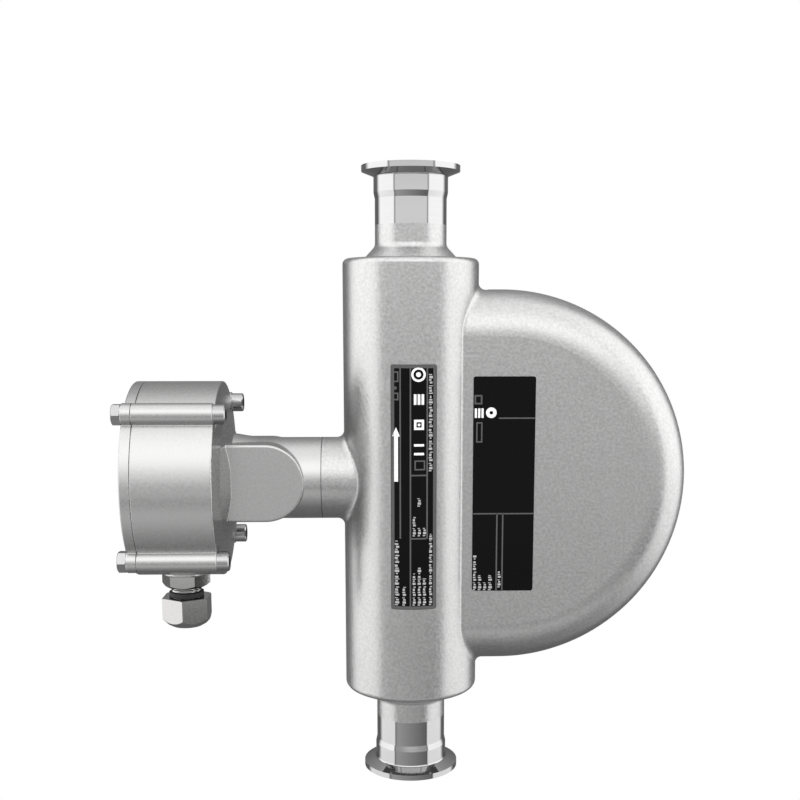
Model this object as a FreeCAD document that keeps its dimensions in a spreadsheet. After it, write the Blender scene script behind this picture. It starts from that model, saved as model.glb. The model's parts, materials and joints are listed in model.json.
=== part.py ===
"""Coriolis flow meter for a hygienic pipe line, in millimetres.

+Z is the way of the flow. The origin is the centre of the inlet ferrule's face, the loop
housing stands out to +X, the terminal box to -X, and -Y is the front.
"""
import FreeCAD, Part
import Sketcher
import math
import os
import re

V = FreeCAD.Vector

SIZES = (
    # process line
    ("overall_length", 320.0, "face to face of the two ferrules"),
    ("pipe_radius", 19.05, "outer radius of the ferrule's tube"),
    ("pipe_wall", 1.65, "wall of the ferrule's tube"),
    ("waist_drop", 0.65, "step from the ferrule's tube down to the cap's pipe"),
    ("seam_offset", 1.35, "weld below the middle between cone and step"),
    ("step_drop", 16.4, "ferrule's face to the start of the step"),
    ("step_length", 3.0, "length of the step"),
    ("rim_radius", 25.25, "ferrule rim"),
    ("rim_thickness", 2.85, "cylindrical edge of the rim"),
    ("rim_slope", 2.4, "height of the clamp cone behind the rim"),
    ("rim_fillet", 1.0, "hollow rounding between clamp cone and tube"),
    ("groove_inset", 3.45, "rim to the middle of the gasket groove"),
    ("groove_width", 2.6, "gasket groove"),
    ("groove_depth", 1.4, "gasket groove"),
    # body tube and its end caps
    ("body_half", 113.8, "middle to the outer face of an end cap"),
    ("body_radius", 35.2, "outside of the body tube"),
    ("body_wall", 3.0, "wall of the body tube"),
    ("body_edge", 3.0, "rounding of the body's two ends"),
    ("cap_thickness", 4.0, "disc of an end cap"),
    ("cone_radius", 24.1, "foot of the cone on an end cap"),
    ("cone_height", 6.2, "cone on an end cap"),
    ("cone_fillet", 4.0, "hollow rounding between that cone and the cap's pipe"),
    ("splitter_radius", 22.0, "flow splitter block"),
    ("splitter_height", 16.0, "flow splitter block"),
    ("chamber_depth", 6.0, "room in the splitter over the two tubes"),
    # the two measuring tubes
    ("tube_radius", 6.0, "outside of a measuring tube"),
    ("tube_wall", 0.8, "wall of a measuring tube"),
    ("tube_spacing", 20.0, "between the two tubes' middles"),
    ("tube_straight", 1.5, "straight run of a tube from brace plate to elbow"),
    ("tube_bend", 16.0, "middle radius of the tube's two elbows"),
    ("tube_play", 0.05, "running clearance of a tube in its seat"),
    ("brace_length", 36.0, "brace plate, across the two tubes"),
    ("brace_width", 17.0, "brace plate"),
    ("brace_thickness", 1.5, "brace plate"),
    ("brace_drop", 3.2, "splitter to brace plate"),
    ("brace_play", 0.2, "clearance of the rear tube in a brace plate"),
    # drive and pick-offs
    ("bracket_width", 11.0, "bracket, along the tube"),
    ("bracket_thickness", 4.0, "bracket, across the gap"),
    ("bracket_grip", 1.0, "bracket beyond the axis of coil and magnet"),
    ("coil_radius", 4.6, "coil"),
    ("coil_bore", 2.7, "hole in the coil"),
    ("coil_length", 8.0, "coil"),
    ("coil_clearance", 0.4, "coil to the inner side of the tubes"),
    ("magnet_radius", 2.0, "magnet"),
    ("magnet_length", 11.0, "magnet"),
    ("keeper_radius", 3.6, "disc under the magnet"),
    ("keeper_thickness", 1.5, "disc under the magnet"),
    ("pickoff_angle", 68.0, "pick-off, above and below the loop's middle"),
    ("probe_length", 10.0, "temperature sensor"),
    ("probe_width", 5.0, "temperature sensor"),
    ("probe_height", 2.5, "temperature sensor under its tube"),
    ("probe_place", 34.0, "middle of the temperature sensor from the body's axis"),
    # loop housing
    ("loop_radius", 98.05, "outer rim of the loop housing"),
    ("loop_centre", 47.3, "body axis to the centre of the round rim"),
    ("loop_half_depth", 24.0, "middle to the flat side"),
    ("loop_edge", 23.4, "rounding between flat side and rim"),
    ("loop_wall", 2.0, "wall of the loop housing"),
    ("loop_weld", 3.5, "weld blend on the body tube"),
    ("window_side", 1.5, "window in the body tube beside the tubes"),
    ("window_end", 6.0, "window in the body tube beyond the tubes"),
    # neck
    ("neck_radius", 21.5, "neck at its joint"),
    ("neck_wall", 4.5, "neck round its wire way"),
    ("neck_weld", 3.8, "weld blend on the body tube"),
    ("neck_seam", 46.6, "body axis to the joint in the neck"),
    ("spigot_inset", 2.2, "spigot of the stub inside the neck's outline"),
    ("spigot_length", 8.0, "spigot"),
    ("ring_section", 1.0, "section radius of the neck's O-ring"),
    ("seal_disc", 4.0, "thickness of the feedthrough disc"),
    ("seal_inset", 2.8, "body tube to the feedthrough disc"),
    ("pin_radius", 0.6, "feedthrough pin"),
    ("pin_reach", 4.0, "pin beyond each side of the disc"),
    ("pin_circle", 9.0, "circle of the pins"),
    # terminal housing, its lengths in line from the joint in the neck
    ("box_radius", 51.0, "outside of the terminal box"),
    ("box_wall", 4.0, "wall of the terminal box"),
    ("box_edge", 0.8, "rounding of the box's and bosses' edges"),
    ("floor_thickness", 4.0, "end wall at its edge"),
    ("neck_length", 33.0, "straight neck"),
    ("taper_length", 13.0, "taper between neck and flare"),
    ("taper_rise", 2.1, "taper, added to the neck's radius"),
    ("flare_length", 4.0, "flare between taper and end wall"),
    ("flare_rise", 9.9, "flare, added to the taper's radius"),
    ("crown_height", 1.5, "end wall's slope from the flare to its edge"),
    ("cup_depth", 39.8, "edge of the end wall to the joint with the cover"),
    ("tongue_start", 8.6, "joint in the neck to the cheeks' rounded end"),
    ("tongue_stand", 0.8, "cheek outside the straight neck"),
    ("tongue_half_height", 20.0, "half height of a cheek"),
    ("tongue_edge", 1.2, "rounding of a cheek"),
    ("cover_gap", 0.3, "visible gap between housing and cover"),
    ("cover_thickness", 5.5, "cover with that gap"),
    ("rebate_depth", 3.0, "locating ring of the cover"),
    ("rebate_wall", 2.5, "locating ring of the cover"),
    ("rebate_play", 0.3, "clearance of that ring in the housing"),
    ("gasket_section", 0.7, "section radius of the cover's ring seal"),
    ("boss_radius", 5.7, "boss round a cover bolt"),
    ("bolt_outset", 1.3, "circle of the cover bolts outside the box's radius"),
    ("bolt_radius", 3.0, "M6 bolt"),
    ("bolt_play", 0.3, "bolt in its holes"),
    ("head_radius", 5.0, "socket head"),
    ("head_height", 6.0, "socket head"),
    ("head_bevel", 0.5, "socket head"),
    ("socket_flats", 5.0, "hexagon socket across flats"),
    ("socket_depth", 3.0, "hexagon socket"),
    ("pocket_radius", 7.6, "spot face round a socket head"),
    ("nut_flats", 10.0, "M6 nut across flats"),
    ("nut_height", 4.4, "M6 nut"),
    ("nut_face", 4.7, "flat face of a nut, its radius"),
    ("bevel_slope", 1.45, "bevel of a hexagon, across for each mm along"),
    ("thread_play", 0.05, "clearance of a thread drawn plain"),
    ("bolt_tip", 0.4, "bolt beyond its nut"),
    # electronics in the terminal box
    ("board_margin", 10.0, "terminal board to the wall of its box"),
    ("board_thickness", 1.6, "terminal board"),
    ("post_height", 11.0, "posts that carry the board"),
    ("post_radius", 3.5, "posts that carry the board"),
    ("post_inset", 6.0, "circle of the posts inside the board's edge"),
    ("screw_radius", 1.5, "M3 board screw"),
    ("screw_head", 2.75, "M3 board screw head"),
    ("screw_head_height", 2.0, "M3 board screw head"),
    ("screw_grip", 6.0, "board screw in its post"),
    ("block_play", 1.6, "terminal block to the heads of the board screws"),
    ("block_width", 12.0, "terminal block"),
    ("block_height", 12.0, "terminal block"),
    ("block_drop", 10.0, "terminal block below the axis"),
    ("block_end", 1.5, "end of the terminal block beyond its terminals"),
    ("clamp_radius", 2.0, "terminal screw"),
    ("clamp_depth", 7.0, "terminal screw"),
    ("entry_hole", 1.6, "wire hole of a terminal"),
    # cable gland under the terminal box
    ("gland_inset", 22.5, "edge of the end wall to the gland's axis"),
    ("seat_radius", 12.0, "cast seat of the gland"),
    ("seat_stand", 0.3, "gland's seat below the box"),
    ("gland_flats", 22.4, "gland body across flats"),
    ("gland_hex_height", 6.9, "hexagon of the gland body"),
    ("gland_face", 10.4, "lower face of that hexagon, its radius"),
    ("gland_turn", -1.0, "degrees that the body's hexagon is turned"),
    ("gland_thread", 8.0, "outer radius of the gland's threads"),
    ("gland_inside", 12.0, "gland thread above its seat"),
    ("gland_spigot", 12.5, "lower spigot below the hexagon"),
    ("gland_bore", 6.2, "bore of the gland body"),
    ("gland_ring", 2.4, "height of the black ring over the cap"),
    ("gland_ring_gap", 3.1, "hexagon to the black ring"),
    ("seal_length", 10.0, "rubber seal in the gland"),
    ("seal_bore", 3.2, "cable hole in the seal"),
    ("clamp_ring_bore", 4.6, "hole in the clamp ring"),
    ("clamp_ring_height", 4.0, "clamp ring"),
    ("clamp_ring_play", 0.3, "clamp ring in the cap and under the spigot"),
    ("cap_flats", 24.0, "gland cap across flats"),
    ("cap_turn", 28.7, "degrees that the cap's hexagon is turned"),
    ("cap_hex_height", 10.3, "hexagon of the cap"),
    ("cap_face", 13.4, "upper face of the cap, its radius"),
    ("cap_bevel", 0.8, "height of the bevel round that face"),
    ("cap_dome", 5.6, "domed end of the cap"),
    ("dome_shoulder", 12.7, "radius of the dome at its upper corner"),
    ("dome_shoulder_drop", 2.0, "hexagon to that corner"),
    ("dome_belly", 10.6, "radius of the dome at its lower corner"),
    ("dome_belly_drop", 4.2, "hexagon to that corner"),
    ("cap_exit", 5.0, "cable hole of the cap"),
    ("cap_end_radius", 8.2, "flat end of the dome"),
    ("cap_ring_gap", 0.3, "cap to the black ring over it"),
    # nameplates
    ("plate_thickness", 0.5, "both nameplates"),
    ("plate_corner", 1.2, "corner of a nameplate"),
    ("plate_glue", 0.05, "glue under the curved plate"),
    ("main_plate_left", 10.9, "main plate's left edge from the body's axis"),
    ("main_plate_right", 12.1, "main plate's right edge from the body's axis"),
    ("main_plate_top", 61.2, "main plate above the middle"),
    ("main_plate_bottom", 63.2, "main plate below the middle"),
    ("side_plate_left", 31.1, "side plate's left edge from the body's axis"),
    ("side_plate_right", 62.7, "side plate's right edge from the body's axis"),
    ("side_plate_top", 54.7, "side plate above the middle"),
    ("side_plate_bottom", 56.3, "side plate below the middle"),
)
NAMES = {name for name, value, note in SIZES}

# sizes and places that follow from the cells, each a plain sum
WORKED_OUT = {
    "pipe_bore": "pipe_radius - pipe_wall",
    "pipe_waist": "pipe_radius - waist_drop",
    "step_start": "overall_length / 2 - step_drop",
    "pipe_seam": "body_half / 2 + cone_height / 2 + step_start / 2 - seam_offset",
    "groove_radius": "rim_radius - groove_inset",
    "brace_place": "body_half - cap_thickness - splitter_height - brace_drop - brace_thickness",
    "tube_loop": "brace_place - tube_straight - tube_bend",
    "sensor_reach": "tube_loop - tube_radius - coil_clearance - coil_radius",
    "window_half_width": "tube_spacing / 2 + tube_radius + window_side",
    "window_half_height": "tube_loop + tube_radius + window_end",
    "neck_bore": "neck_radius - neck_wall",
    "spigot_radius": "neck_radius - spigot_inset",
    "seal_place": "body_radius + seal_inset",
    "tongue_end": "neck_seam + tongue_start",
    "tongue_half_depth": "neck_radius + tongue_stand",
    "taper_place": "neck_seam + neck_length",
    "flare_place": "taper_place + taper_length",
    "flare_radius": "neck_radius + taper_rise",
    "crown_place": "flare_place + flare_length",
    "crown_radius": "flare_radius + flare_rise",
    "box_end": "crown_place + crown_height",
    "cover_seam": "box_end + cup_depth",
    "cover_face": "cover_seam + cover_thickness",
    "bolt_circle": "box_radius + bolt_outset",
    "board_radius": "box_radius - box_wall - board_margin",
    "post_circle": "board_radius - post_inset",
    "gland_place": "box_end + gland_inset",
    "seat_drop": "box_radius + seat_stand",
}
SKETCH_START = 50.0  # a sketch's corners start on this circle, before their constraints place them
FLAT = 1e-6  # an edge with less reach than this along an axis lies square to it
NEAR = 1e-4  # two sizes closer than this are the same
ALONG_EDGE = (0.02, 0.5, 0.98)  # parts of an edge's length where its points are looked at
# a tool that cuts right through is drawn 1 mm longer at each open end

doc = FreeCAD.newDocument("flow_meter")
sheet = doc.addObject("Spreadsheet::Sheet", "sizes")
for row, (name, value, note) in enumerate(SIZES, start=1):
    sheet.set("A%d" % row, name)
    sheet.set("B%d" % row, str(value))
    sheet.set("C%d" % row, note)
    sheet.setAlias("B%d" % row, name)
doc.recompute()

ALONG_X = FreeCAD.Rotation(V(0, 1, 0), 90)
AGAINST_X = FreeCAD.Rotation(V(0, 1, 0), -90)
ALONG_Y = FreeCAD.Rotation(V(1, 0, 0), -90)
NUT_TURN = AGAINST_X.multiply(FreeCAD.Rotation(V(0, 0, 1), 30))
UPSIDE_DOWN = FreeCAD.Rotation(V(1, 0, 0), 180)
MIDDLE = ("0", "0", "overall_length / 2")
PIECES = []


def num(name):
    """The number in the sheet's cell of that name, or of a sum of such cells."""
    if name in NAMES:
        return float(sheet.get(name))
    total = 0.0
    for sign, term, share in re.findall("([+-]?) ?([a-z_]+)(?: / ([0-9]))?", WORKED_OUT[name]):
        total += float(sign + "1") * num(term) / float(share or 1)
    return total


def bind(text):
    """The same sum with each size's name turned into its cell."""
    return re.sub("[a-z_]+", bound_word, text)


def bound_word(match):
    word = match.group()
    if word in NAMES:
        return "sizes." + word
    return "(" + bind(WORKED_OUT[word]) + ")" if word in WORKED_OUT else word


def place(obj, at, turn=None):
    """Turn the object, then tie its position to the sheet."""
    obj.Placement = FreeCAD.Placement(V(0, 0, 0), turn or FreeCAD.Rotation())
    for letter, text in zip("xyz", at):
        obj.setExpression("Placement.Base." + letter, bind(text))


def solid(kind, name, sizes, at=("0", "0", "0"), turn=None):
    """A primitive whose sizes and place are tied to the sheet."""
    obj = doc.addObject("Part::" + kind, name)
    for prop, text in sizes.items():
        obj.setExpression(prop, bind(text))
    place(obj, at, turn)
    return obj


def cylinder(name, radius, height, at, turn=None):
    return solid("Cylinder", name, {"Radius": radius, "Height": height}, at, turn)


def box(name, low, high):
    """A box between two corners."""
    spans = {"Length": (0, high[0]), "Width": (1, high[1]), "Height": (2, high[2])}
    sizes = {prop: "(%s) - (%s)" % (text, low[axis]) for prop, (axis, text) in spans.items()}
    return solid("Box", name, sizes, low)


def fuse(name, *shapes):
    obj = doc.addObject("Part::MultiFuse", name)
    obj.Shapes = list(shapes)
    return obj


def common(name, *shapes):
    obj = doc.addObject("Part::MultiCommon", name)
    obj.Shapes = list(shapes)
    return obj


def cut(name, base, *tools):
    obj = doc.addObject("Part::Cut", name)
    obj.Base = base
    obj.Tool = tools[0] if len(tools) == 1 else fuse(name + "_tools", *tools)
    return obj


def formed(name, shape):
    """A cast or drawn piece whose blended shape is worked out here from the sheet."""
    obj = doc.addObject("Part::Feature", name)
    obj.Shape = shape
    return obj


def piece(obj, node):
    """Mark the finished object as one piece; its label names the file."""
    obj.Label = node
    PIECES.append(obj)
    return obj


def outline(body, name, plane, corners):
    """A closed sketch of straight sides; each corner is held at its two sizes."""
    sketch = body.newObject("Sketcher::SketchObject", name)
    support = next(f for f in body.Origin.OriginFeatures if f.Role == plane)
    sketch.AttachmentSupport = [(support, "")]
    sketch.MapMode = "FlatFace"
    count = len(corners)
    turn = 2 * math.pi / count
    start = [V(math.cos(turn * i), math.sin(turn * i), 0) * SKETCH_START for i in range(count)]
    for i in range(count):
        sketch.addGeometry(Part.LineSegment(start[i], start[(i + 1) % count]), False)
    for i in range(count):
        sketch.addConstraint(Sketcher.Constraint("Coincident", i, 2, (i + 1) % count, 1))
    for i, (across, up) in enumerate(corners):
        for kind, text, first in (("DistanceX", across, start[i].x), ("DistanceY", up, start[i].y)):
            number = sketch.addConstraint(Sketcher.Constraint(kind, -1, 1, i, 1, first))
            sketch.setExpression("Constraints[%d]" % number, bind(text))
    return sketch


def turned(name, corners, at=MIDDLE, turn=None, rounds=()):
    """A lathe-turned piece: (radius, height) corners spun about its own Z axis.

    rounds holds (radius, height, rounding) for the sharp circles that are rounded off.
    """
    body = doc.addObject("PartDesign::Body", name)
    sketch = outline(body, name + "_outline", "XZ_Plane", corners)
    spin = body.newObject("PartDesign::Revolution", name + "_spin")
    spin.Profile = sketch
    spin.ReferenceAxis = (sketch, ["V_Axis"])
    spin.Angle = 360
    doc.recompute()
    feature = spin
    for number, (radius, height, rounding) in enumerate(rounds):
        found = circles(feature.Shape, radius, height)
        feature = body.newObject("PartDesign::Fillet", "%s_round_%d" % (name, number))
        feature.Base = (body.Group[-2], found)
        feature.setExpression("Radius", bind(rounding))
        doc.recompute()
    body.Tip = feature
    place(body, at, turn)
    return body


def circles(shape, radius, height):
    """Names of the circular edges at that radius and height in the piece's own frame."""
    found = []
    for number, edge in enumerate(shape.Edges, start=1):
        round_edge = isinstance(edge.Curve, Part.Circle)
        if not round_edge:
            continue
        if abs(edge.Curve.Radius - radius) < NEAR and abs(edge.Curve.Center.z - height) < NEAR:
            found.append("Edge%d" % number)
    return found


def hexagon(name, flats, height, at, turn_cell):
    """A hexagonal prism that starts at its place and goes down."""
    body = doc.addObject("PartDesign::Body", name)
    corners = []
    for angle in range(0, 360, 60):
        corners.append(tuple("%s / sqrt(3) * %s(%d + %s)" % (flats, share, angle, turn_cell)
                             for share in ("cos", "sin")))
    sketch = outline(body, name + "_outline", "XY_Plane", corners)
    pad = body.newObject("PartDesign::Pad", name + "_pad")
    pad.Profile = sketch
    pad.setExpression("Length", bind(height))
    pad.Reversed = True
    place(body, at)
    return body


def line_run(points):
    """Edges through the points; a triple holds a point on an arc and its end."""
    edges = []
    here = points[0]
    for step in points[1:]:
        if isinstance(step, tuple):
            edges.append(Part.Arc(here, step[0], step[1]).toShape())
            here = step[1]
        else:
            edges.append(Part.LineSegment(here, step).toShape())
            here = step
    return edges


# process line: end caps and ferrules, the same pair turned over for the inlet

def end_cap(node, turn):
    seat = "body_half - cap_thickness"
    cone_top = "body_half + cone_height"
    corners = [("pipe_bore", seat), ("body_radius", seat), ("body_radius", "body_half"),
               ("cone_radius", "body_half"), ("pipe_waist", cone_top), ("pipe_waist", "pipe_seam"),
               ("pipe_bore", "pipe_seam")]
    rounds = [(num("body_radius"), num("body_half"), "body_edge"),
              (num("pipe_waist"), num("body_half") + num("cone_height"), "cone_fillet")]
    return piece(turned(node, corners, turn=turn, rounds=rounds), node)


def ferrule(node, turn):
    face = "overall_length / 2"
    back = face + " - rim_thickness"
    inner = "groove_radius - groove_width / 2"
    outer = "groove_radius + groove_width / 2"
    corners = [("pipe_bore", "pipe_seam"), ("pipe_waist", "pipe_seam"), ("pipe_waist", "step_start"),
               ("pipe_radius", "step_start + step_length"), ("pipe_radius", back + " - rim_slope"),
               ("rim_radius", back), ("rim_radius", face), (outer, face),
               (outer, face + " - groove_depth"), (inner, face + " - groove_depth"), (inner, face),
               ("pipe_bore", face)]
    cone_foot = num("overall_length") / 2 - num("rim_thickness") - num("rim_slope")
    rounds = [(num("pipe_radius"), cone_foot, "rim_fillet")]
    return piece(turned(node, corners, turn=turn, rounds=rounds), node)


end_cap("outlet_end_cap", None)
end_cap("inlet_end_cap", UPSIDE_DOWN)
ferrule("outlet_ferrule", None)
ferrule("inlet_ferrule", UPSIDE_DOWN)


# flow splitters, each with two tube holes under one chamber

def splitter(node, side):
    top = "overall_length / 2 %s (body_half - cap_thickness)" % side
    low = top if side == "-" else top + " - splitter_height"
    hole_low = low + " - 1"
    block = cylinder(node + "_block", "splitter_radius", "splitter_height", ("0", "0", low))
    chamber_low = top + " - 1" if side == "-" else top + " - chamber_depth"
    chamber = cylinder(node + "_chamber", "pipe_bore", "chamber_depth + 1", ("0", "0", chamber_low))
    holes = []
    for name, sign in (("front", "-"), ("rear", "")):
        at = ("0", sign + "tube_spacing / 2", hole_low)
        hole = "%s_%s_hole" % (node, name)
        holes.append(cylinder(hole, "tube_radius + tube_play", "splitter_height + 2", at))
    return piece(cut(node, block, chamber, *holes), node)


splitter("outlet_splitter", "+")
splitter("inlet_splitter", "-")

# body tube, with the window for the measuring tubes and the hole for the neck
tube_low = "overall_length / 2 - body_half + cap_thickness"
tube_span = "2 * (body_half - cap_thickness)"
body_outside = cylinder("body_outside", "body_radius", tube_span, ("0", "0", tube_low))
inside_at = ("0", "0", tube_low + " - 1")
body_inside = cylinder("body_inside", "body_radius - body_wall", tube_span + " + 2", inside_at)
window = box("body_window", ("0", "-window_half_width", "overall_length / 2 - window_half_height"),
             ("body_radius + 1", "window_half_width", "overall_length / 2 + window_half_height"))
wire_way = cylinder("body_wire_way", "neck_bore", "body_radius + 1", MIDDLE, AGAINST_X)
piece(cut("body_tube", body_outside, body_inside, window, wire_way), "body_tube")


# loop housing, drawn in two halves that are welded round the rim and to the body tube

def middle_point(x, y, z):
    return V(x, y, z + num("overall_length") / 2)


def body_cylinder():
    half = num("body_half") - num("cap_thickness")
    return Part.makeCylinder(num("body_radius"), 2 * half, middle_point(0, 0, -half))


def d_slab(radius, half_depth, edge):
    """A D-shaped slab about the middle, with both rims rounded."""
    centre = num("loop_centre")
    low, high = middle_point(0, -half_depth, -radius), middle_point(0, -half_depth, radius)
    bend = (middle_point(centre + radius, -half_depth, 0), middle_point(centre, -half_depth, radius))
    edges = line_run([low, middle_point(centre, -half_depth, -radius), bend, high, low])
    slab = Part.Face(Part.Wire(edges)).extrude(V(0, 2 * half_depth, 0))
    rims = []
    for e in slab.Edges:
        across = e.BoundBox.YLength < FLAT
        if across and e.BoundBox.XMax > 1:
            rims.append(e)
    return slab.makeFillet(edge, rims)


def body_blend(joined, radius, side):
    """Round the corner where something meets the body tube on the given side of it."""
    corner = []
    for e in joined.Edges:
        span = e.LastParameter - e.FirstParameter
        points = [e.valueAt(e.FirstParameter + part * span) for part in ALONG_EDGE]
        on_tube = all(abs(math.hypot(p.x, p.y) - num("body_radius")) < 10 * NEAR for p in points)
        half = num("body_half") - num("cap_thickness") - 1
        inside = all(abs(p.z - num("overall_length") / 2) < half for p in points)
        if on_tube and inside and all(p.x * side > 1 for p in points):
            corner.append(e)
    return joined.makeFillet(radius, corner)


def loop_housing():
    wall = num("loop_wall")
    tube = body_cylinder()
    outer = d_slab(num("loop_radius"), num("loop_half_depth"), num("loop_edge"))
    inner = d_slab(num("loop_radius") - wall, num("loop_half_depth") - wall, num("loop_edge") - wall)
    blended = body_blend(outer.fuse(tube).removeSplitter(), num("loop_weld"), 1)
    return blended.cut(tube).cut(inner)


def half_of(shape, side):
    big = 2 * num("loop_radius") + num("loop_centre")
    low = 0 if side > 0 else -big
    return shape.common(Part.makeBox(2 * big, big, 2 * big, middle_point(-big, low, -big)))


housing_shell = loop_housing()
piece(formed("loop_shell_front", half_of(housing_shell, -1)), "loop_shell_front")
piece(formed("loop_shell_rear", half_of(housing_shell, 1)), "loop_shell_rear")


# measuring tubes

def measuring_tube(side):
    """The tube's wall along its path, with side -1 for the front one and 1 for the rear one."""
    loop, bend, centre = num("tube_loop"), num("tube_bend"), num("loop_centre")
    end = num("body_half") - num("cap_thickness") - num("chamber_depth")
    y = side * num("tube_spacing") / 2
    near = bend * (1 - math.sqrt(0.5))

    def at(x, z):
        return middle_point(x, y, z)
    points = [at(0, end), at(0, loop + bend), (at(near, loop + near), at(bend, loop)), at(centre, loop),
              (at(centre + loop, 0), at(centre, -loop)), at(bend, -loop),
              (at(near, -loop - near), at(0, -loop - bend)), at(0, -end)]
    path = Part.Wire(line_run(points))
    solids = []
    for radius in (num("tube_radius"), num("tube_radius") - num("tube_wall")):
        ring = Part.Wire(Part.makeCircle(radius, at(0, end), V(0, 0, 1)))
        solids.append(path.makePipeShell([ring], True, True))
    return solids[0].cut(solids[1])


piece(formed("measuring_tube_front", measuring_tube(-1)), "measuring_tube_front")
piece(formed("measuring_tube_rear", measuring_tube(1)), "measuring_tube_rear")


# brace plates, brazed to the front tube and clear of the rear one

def brace(node, side):
    low = "overall_length / 2 + brace_place"
    if side < 0:
        low = "overall_length / 2 - brace_place - brace_thickness"
    plate = box(node + "_plate", ("-brace_width / 2", "-brace_length / 2", low),
                ("brace_width / 2", "brace_length / 2", low + " + brace_thickness"))
    front = cylinder(node + "_front_hole", "tube_radius", "brace_thickness + 2",
                     ("0", "-tube_spacing / 2", low + " - 1"))
    rear = cylinder(node + "_rear_hole", "tube_radius + brace_play", "brace_thickness + 2",
                    ("0", "tube_spacing / 2", low + " - 1"))
    return piece(cut(node, plate, front, rear), node)


brace("outlet_brace", 1)
brace("inlet_brace", -1)


# drive and pick-offs: a coil on the rear tube round a magnet on the front tube

def on_loop(obj, angle):
    """Swing a piece drawn about the loop's centre to its angle on the loop."""
    place(obj, ("loop_centre", "0", "overall_length / 2"), FreeCAD.Rotation(V(0, 1, 0), -angle))
    return obj


def bracket(name, side, angle):
    """A block that straddles the inside of its tube."""
    middle = "%s tube_spacing / 2" % side
    low = ("sensor_reach - bracket_grip", middle + " - bracket_thickness / 2", "-bracket_width / 2")
    high = ("tube_loop", middle + " + bracket_thickness / 2", "bracket_width / 2")
    block = box(name + "_block", low, high)
    tube = solid("Torus", name + "_saddle", {"Radius1": "tube_loop", "Radius2": "tube_radius"},
                 ("0", middle, "0"), ALONG_Y)
    return piece(on_loop(cut(name, block, tube), angle), name)


def sensor(name, angle):
    bracket(name + "_magnet_bracket", "-", angle)
    bracket(name + "_coil_bracket", "0 +", angle)
    coil_face = "tube_spacing / 2 - bracket_thickness / 2"
    at = ("sensor_reach", coil_face + " - coil_length", "0")
    outer = cylinder(name + "_coil_outer", "coil_radius", "coil_length", at, ALONG_Y)
    hole_at = (at[0], at[1] + " - 1", at[2])
    hole = cylinder(name + "_coil_hole", "coil_bore", "coil_length + 2", hole_at, ALONG_Y)
    piece(on_loop(cut(name + "_coil", outer, hole), angle), name + "_coil")
    face = "-tube_spacing / 2 + bracket_thickness / 2"
    foot = ("sensor_reach", face, "0")
    core = cylinder(name + "_magnet_core", "magnet_radius", "magnet_length", foot, ALONG_Y)
    keeper = cylinder(name + "_keeper", "keeper_radius", "keeper_thickness", foot, ALONG_Y)
    piece(on_loop(fuse(name + "_magnet", core, keeper), angle), name + "_magnet")


sensor("drive", 0)
sensor("outlet_pickoff", num("pickoff_angle"))
sensor("inlet_pickoff", -num("pickoff_angle"))

# temperature sensor under the front tube's lower run
probe_top = "overall_length / 2 - tube_loop"
probe_left, probe_right = "probe_place - probe_length / 2", "probe_place + probe_length / 2"
probe_front = "-tube_spacing / 2 - probe_width"
probe_low = (probe_left, probe_front + " / 2", probe_top + " - tube_radius - probe_height")
probe_high = (probe_right, "-tube_spacing / 2 + probe_width / 2", probe_top)
probe_block = box("probe_block", probe_low, probe_high)
probe_saddle = cylinder("probe_saddle", "tube_radius", "probe_length + 2",
                        (probe_left + " - 1", "-tube_spacing / 2", probe_top), ALONG_X)
probe_above = box("probe_above", (probe_left + " - 1", probe_front, probe_top + " - tube_radius / 2"),
                  (probe_right + " + 1", "-tube_spacing / 2 + probe_width", probe_top + " + 1"))
piece(cut("temperature_sensor", probe_block, probe_saddle, probe_above), "temperature_sensor")


# neck stub with its spigot, O-ring and feedthrough

def at_box(x, y, z):
    """A point given by its distance from the body's axis towards the terminal box."""
    return middle_point(-x, y, z)


def rod(x_from, x_to, radius, y=0.0, z=0.0):
    """A cylinder between two distances from the body's axis towards the terminal box."""
    return Part.makeCylinder(radius, x_to - x_from, at_box(x_from, y, z), V(-1, 0, 0))


def neck_stub():
    seam = num("neck_seam")
    tube = body_cylinder()
    stub = rod(0, seam, num("neck_radius"))
    blended = body_blend(stub.fuse(tube).removeSplitter(), num("neck_weld"), -1).cut(tube)
    spigot = rod(seam, seam + num("spigot_length"), num("spigot_radius"))
    bore = rod(0, seam + num("spigot_length") + 1, num("neck_bore"))
    groove = Part.makeTorus(num("spigot_radius"), num("ring_section"), ring_centre(), V(1, 0, 0))
    return blended.fuse(spigot).removeSplitter().cut(bore).cut(groove)


def ring_centre():
    return middle_point(-num("neck_seam") - num("spigot_length") / 2, 0, 0)


piece(formed("neck_stub", neck_stub()), "neck_stub")
piece(solid("Torus", "neck_o_ring", {"Radius1": "spigot_radius", "Radius2": "ring_section"},
            ("-neck_seam - spigot_length / 2", "0", "overall_length / 2"), ALONG_X), "neck_o_ring")

PIN_ANGLES = range(0, 360, 60)


def on_circle(circle, angle, x):
    """A place on a circle about the neck's axis."""
    return (x, "%s * cos(%d)" % (circle, angle), "overall_length / 2 + %s * sin(%d)" % (circle, angle))


disc = cylinder("feedthrough_blank", "neck_bore", "seal_disc", ("-seal_place", "0", MIDDLE[2]), AGAINST_X)
pin_holes, pins, leads = [], [], []
for n, angle in enumerate(PIN_ANGLES):
    at = on_circle("pin_circle", angle, "-seal_place + pin_reach")
    pins.append(cylinder("pin_%d" % n, "pin_radius", "seal_disc + 2 * pin_reach", at, AGAINST_X))
    pin_holes.append(cylinder("pin_hole_%d" % n, "pin_radius", "seal_disc + 2 * pin_reach", at, AGAINST_X))
piece(cut("feedthrough", disc, *pin_holes), "feedthrough")
piece(fuse("feedthrough_pins", *pins), "feedthrough_pins")


# terminal housing: one casting of cup, bosses, flared end wall, neck and cheeks

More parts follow.
